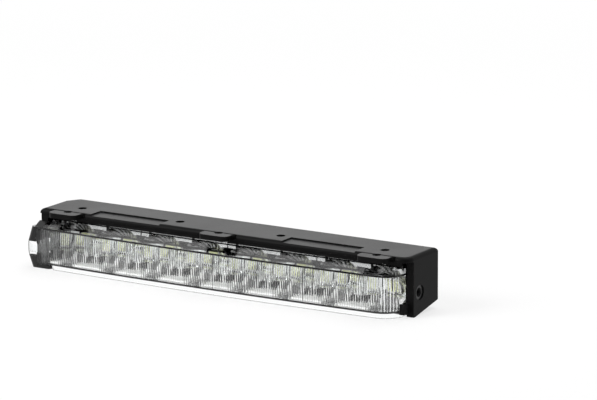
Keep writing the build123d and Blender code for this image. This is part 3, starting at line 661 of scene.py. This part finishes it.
def make_finishes():
    """Every finish of the lamp by its slot."""
    made = {name: moulded_plastic(name, **look) for name, look in PLASTICS.items()}
    made.update({name: drawn_metal(name, **look) for name, look in METALS.items()})
    made["reflector_metal"] = bright_metal()
    made["lens_clear"] = clear_lens()
    made["led_phosphor"] = led_phosphor()
    made["board_mask"] = board_mask()
    made["vent_membrane"] = woven_vent()
    return made


def dress_nodes(finishes):
    """Gives each piece the finish of its slot."""
    for part in frame["record"]["subparts"]:
        mesh = nodes[part["node"]].data
        mesh.materials.clear()
        mesh.materials.append(finishes[part["material_slot"]])


# Fittings that repeat, grown on points by geometry trees in millimetres

def new_geometry(name, sizes):
    """An empty geometry tree with points, named sizes, a turn and a finish."""
    tree = bpy.data.node_groups.new(name, "GeometryNodeTree")
    tree.interface.new_socket("Points", in_out="INPUT", socket_type="NodeSocketGeometry")
    for label in sizes:
        tree.interface.new_socket(label, in_out="INPUT", socket_type="NodeSocketFloat")
    tree.interface.new_socket("Turn", in_out="INPUT", socket_type="NodeSocketRotation")
    tree.interface.new_socket("Finish", in_out="INPUT", socket_type="NodeSocketMaterial")
    tree.interface.new_socket("Fittings", in_out="OUTPUT", socket_type="NodeSocketGeometry")
    return tree, tree.nodes.new("NodeGroupInput").outputs, tree.nodes.new("NodeGroupOutput")


def moved(tree, geometry, shift=None, scale=None, turn=None):
    """A geometry shifted, scaled and turned."""
    inputs = {"Geometry": geometry}
    for socket, value in (("Translation", shift), ("Scale", scale), ("Rotation", turn)):
        if value is not None:
            inputs[socket] = value
    return place_node(tree, "GeometryNodeTransform", inputs).outputs["Geometry"]


def joined(tree, *geometries):
    """Several geometries as one."""
    return place_node(tree, "GeometryNodeJoinGeometry", {"Geometry": list(geometries)}).outputs["Geometry"]


def cylinder(tree, radius, length):
    """A cylinder along Z, with its middle at the origin."""
    inputs = {"Vertices": SCREW_SIDES, "Radius": radius, "Depth": length}
    return place_node(tree, "GeometryNodeMeshCylinder", inputs).outputs["Mesh"]


def ball(tree, segments, rings):
    """A ball of radius one."""
    inputs = {"Segments": segments, "Rings": rings, "Radius": 1.0}
    return place_node(tree, "GeometryNodeMeshUVSphere", inputs).outputs["Mesh"]


def circle(tree, resolution, radius):
    """A circle as a curve."""
    inputs = {"Resolution": resolution, "Radius": radius}
    return place_node(tree, "GeometryNodeCurvePrimitiveCircle", inputs).outputs["Curve"]


def swept(tree, path, profile, caps=False):
    """A profile swept along a path."""
    inputs = {"Curve": path, "Profile Curve": profile, "Fill Caps": caps}
    return place_node(tree, "GeometryNodeCurveToMesh", inputs).outputs["Mesh"]


def combined(tree, operation, inputs):
    """Meshes cut, joined or intersected."""
    return place_node(tree, "GeometryNodeMeshBoolean", inputs, operation=operation).outputs["Mesh"]


def without_loose_points(tree, mesh):
    """A mesh without points that belong to no face, which a cut can leave behind."""
    faces = place_node(tree, "GeometryNodeInputMeshVertexNeighbors").outputs["Face Count"]
    loose = place_node(tree, "FunctionNodeCompare", {"A": faces, "B": 0}, data_type="INT", operation="EQUAL")
    inputs = {"Geometry": mesh, "Selection": loose.outputs["Result"]}
    return place_node(tree, "GeometryNodeDeleteGeometry", inputs).outputs["Geometry"]


def repeat(tree, given, leave, fitting):
    """Puts a fitting on every point, as one mesh with its finish."""
    placed = place_node(tree, "GeometryNodeInstanceOnPoints", {
        "Points": given["Points"], "Instance": fitting, "Rotation": given["Turn"], "Scale": (MM, MM, MM),
    })
    whole = place_node(tree, "GeometryNodeRealizeInstances", {"Geometry": placed.outputs["Instances"]})
    inputs = {"Geometry": whole.outputs["Geometry"], "Material": given["Finish"]}
    dressed = place_node(tree, "GeometryNodeSetMaterial", inputs)
    set_inputs(tree, leave, {"Fittings": dressed.outputs["Geometry"]})


def screw_tree():
    """Pan-head screws with a cross recess, head upwards on the point and shank below it."""
    sizes = ("Head Radius", "Head Height", "Shank Radius", "Shank Length")
    tree, given, leave = new_geometry("cross_screws", sizes)
    radius, height, length = given["Head Radius"], given["Head Height"], given["Shank Length"]
    block = moved(tree, cylinder(tree, radius, height), shift=along(tree, z=times(tree, height, 0.5)))
    wide = times(tree, radius, DOME_SHARE)
    dome = moved(tree, ball(tree, SCREW_SIDES, DOME_RINGS), scale=along(tree, wide, wide, height))
    pan = combined(tree, "INTERSECT", {"Mesh 2": [block, dome]})
    reach = times(tree, radius, DRIVE_LENGTH_SHARE)
    slot = times(tree, radius, DRIVE_WIDTH_SHARE)
    depth = times(tree, height, DRIVE_DEPTH_SHARE)
    bars = [
        place_node(tree, "GeometryNodeMeshCube", {"Size": along(tree, x, y, depth)}).outputs["Mesh"]
        for x, y in ((reach, slot), (slot, reach))
    ]
    cross = moved(tree, combined(tree, "UNION", {"Mesh 2": bars}), shift=along(tree, z=height))
    head = without_loose_points(tree, combined(tree, "DIFFERENCE", {"Mesh 1": pan, "Mesh 2": cross}))
    shank = cylinder(tree, given["Shank Radius"], length)
    shank = moved(tree, shank, shift=along(tree, z=times(tree, length, -0.5)))
    repeat(tree, given, leave, joined(tree, head, shank))
    return tree


def thread_tree():
    """Threads inside bores: a three-sided ridge along a helix, centred on the point."""
    tree, given, leave = new_geometry("bore_threads", ("Radius", "Ridge", "Pitch", "Length"))
    helix = place_node(tree, "GeometryNodeCurveSpiral", {
        "Resolution": THREAD_STEPS, "Rotations": maths(tree, "DIVIDE", given["Length"], given["Pitch"]),
        "Start Radius": given["Radius"], "End Radius": given["Radius"], "Height": given["Length"],
    })
    thread = swept(tree, helix.outputs["Curve"], circle(tree, RIDGE_SIDES, given["Ridge"]), caps=True)
    middle = along(tree, z=times(tree, given["Length"], -0.5))
    repeat(tree, given, leave, moved(tree, thread, shift=middle))
    return tree


def staked_tree():
    """Staked pin tips: a flat dome with a rolled collar, hanging from the point."""
    tree, given, leave = new_geometry("staked_tips", ("Radius", "Round"))
    radius, roll = given["Radius"], given["Round"]
    dome = moved(tree, ball(tree, PIN_HEAD_SIDES, PIN_HEAD_RINGS), scale=along(tree, radius, radius, roll))
    collar = swept(tree, circle(tree, PIN_HEAD_SIDES, radius), circle(tree, PIN_ROLL_SIDES, roll))
    repeat(tree, given, leave, joined(tree, dome, collar))
    return tree


def solder_tree():
    """Solder joints: a rounded wedge that stands on the point."""
    tree, given, leave = new_geometry("solder_joints", ("Length", "Width", "Height"))
    wedge = place_node(tree, "GeometryNodeMeshCone", SOLDER_WEDGE)
    square = moved(tree, wedge.outputs["Mesh"], turn=(0, 0, math.radians(45)))
    sized = moved(tree, square, scale=along(tree, given["Length"], given["Width"], given["Height"]))
    soft = place_node(tree, "GeometryNodeSubdivisionSurface", {"Mesh": sized, **SOLDER_ROUNDING})
    repeat(tree, given, leave, soft.outputs["Mesh"])
    return tree


def grow(name, points, tree, sizes, turn, slot):
    """Runs a tree on points, given in metres, and keeps the mesh that it makes as a piece of the lamp."""
    mesh = bpy.data.meshes.new(name)
    mesh.from_pydata(points, [], [])
    piece = bpy.data.objects.new(name, mesh)
    bpy.context.scene.collection.objects.link(piece)
    modifier = piece.modifiers.new("grow", "NODES")
    modifier.node_group = tree
    values = {**sizes, "Turn": turn, "Finish": finishes[slot]}
    for item in tree.interface.items_tree:
        if item.in_out == "INPUT" and item.name in values:
            modifier[item.identifier] = values[item.name]
    grown = piece.evaluated_get(bpy.context.evaluated_depsgraph_get())
    piece.data = bpy.data.meshes.new_from_object(grown)
    piece.modifiers.remove(modifier)
    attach(piece, "root")
    return piece


def between(low, high, count):
    """Even places from one end to the other, or the middle alone for a count of one."""
    if count == 1:
        return [(low + high) / 2]
    return [low + (high - low) * i / (count - 1) for i in range(count)]


def add_screws(tree, node, sizes, columns, rows, forward):
    """Screws with cross recesses in place of a node's plain ones; their heads look forward or back."""
    low, high = (Vector(corner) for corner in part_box(node))
    radius = sizes["Head Radius"] * MM
    head = sizes["Head Height"] * MM
    length = (high.y - low.y - head) / MM
    seat = low.y + head if forward else high.y - head
    columns = between(low.x + radius, high.x - radius, columns)
    rows = between(low.z + radius, high.z - radius, rows)
    points = [(x, seat, z) for x in columns for z in rows]
    turn = FORWARD if forward else BACKWARD
    screws = grow(node + "_crossed", points, tree, {**sizes, "Shank Length": length}, turn, "screw_steel")
    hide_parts(node)


def add_threads(tree):
    """Threads in the bores of both side inserts."""
    boxes = [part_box(node) for node in ("side_insert_left", "side_insert_right")]
    middles = [(Vector(low) + Vector(high)) / 2 for low, high in boxes]
    length = (boxes[0][1][0] - boxes[0][0][0]) / MM - 2 * INSERT_THREAD["Ridge"]
    grow("insert_threads", middles, tree, {**INSERT_THREAD, "Length": length}, SIDEWAYS, "insert_steel")


def add_led_fittings(tips, solder):
    """Staked pin tips in the bowls, and the solder of the LEDs and resistors."""
    pin_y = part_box("carrier")[0][1] + PIN_INSET * MM
    resistor_low, resistor_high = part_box("resistors")
    resistor_z = (resistor_low[2] + resistor_high[2]) / 2
    tip_points = []
    led_points = []
    resistor_points = []
    for i in range(LED_COUNT):
        low, high = (Vector(corner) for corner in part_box(f"led_{i + 1}"))
        middle = (low + high) / 2
        tip_points.append((middle.x + PIN_OFFSET * MM, pin_y, PIN_TIP * MM))
        for side in (-1, 1):
            led_reach = (high.x - low.x + LED_SOLDER["Length"] * MM) / 2
            led_points.append((middle.x + side * led_reach, high.y, middle.z))
            resistor_points.append((middle.x + side * RESISTOR_LENGTH / 2 * MM, high.y, resistor_z))
    grow("staked_tips", tip_points, tips, PIN_HEAD, UPRIGHT, "carrier_plastic")
    grow("led_solder", led_points, solder, LED_SOLDER, FORWARD, "screw_steel")
    grow("resistor_solder", resistor_points, solder, RESISTOR_SOLDER, FORWARD, "screw_steel")


finishes = make_finishes()
dress_nodes(finishes)
screws = screw_tree()
add_screws(screws, "carrier_screws", CARRIER_SCREW, columns=2, rows=2, forward=False)
add_screws(screws, "board_screws", BOARD_SCREW, columns=4, rows=1, forward=True)
add_threads(thread_tree())
add_led_fittings(staked_tree(), solder_tree())
add_camera()
add_world()
add_floor()
for name, lamp in LAMPS.items():
    add_lamp(name, **lamp)
bpy.context.scene.view_settings.view_transform = "Standard"
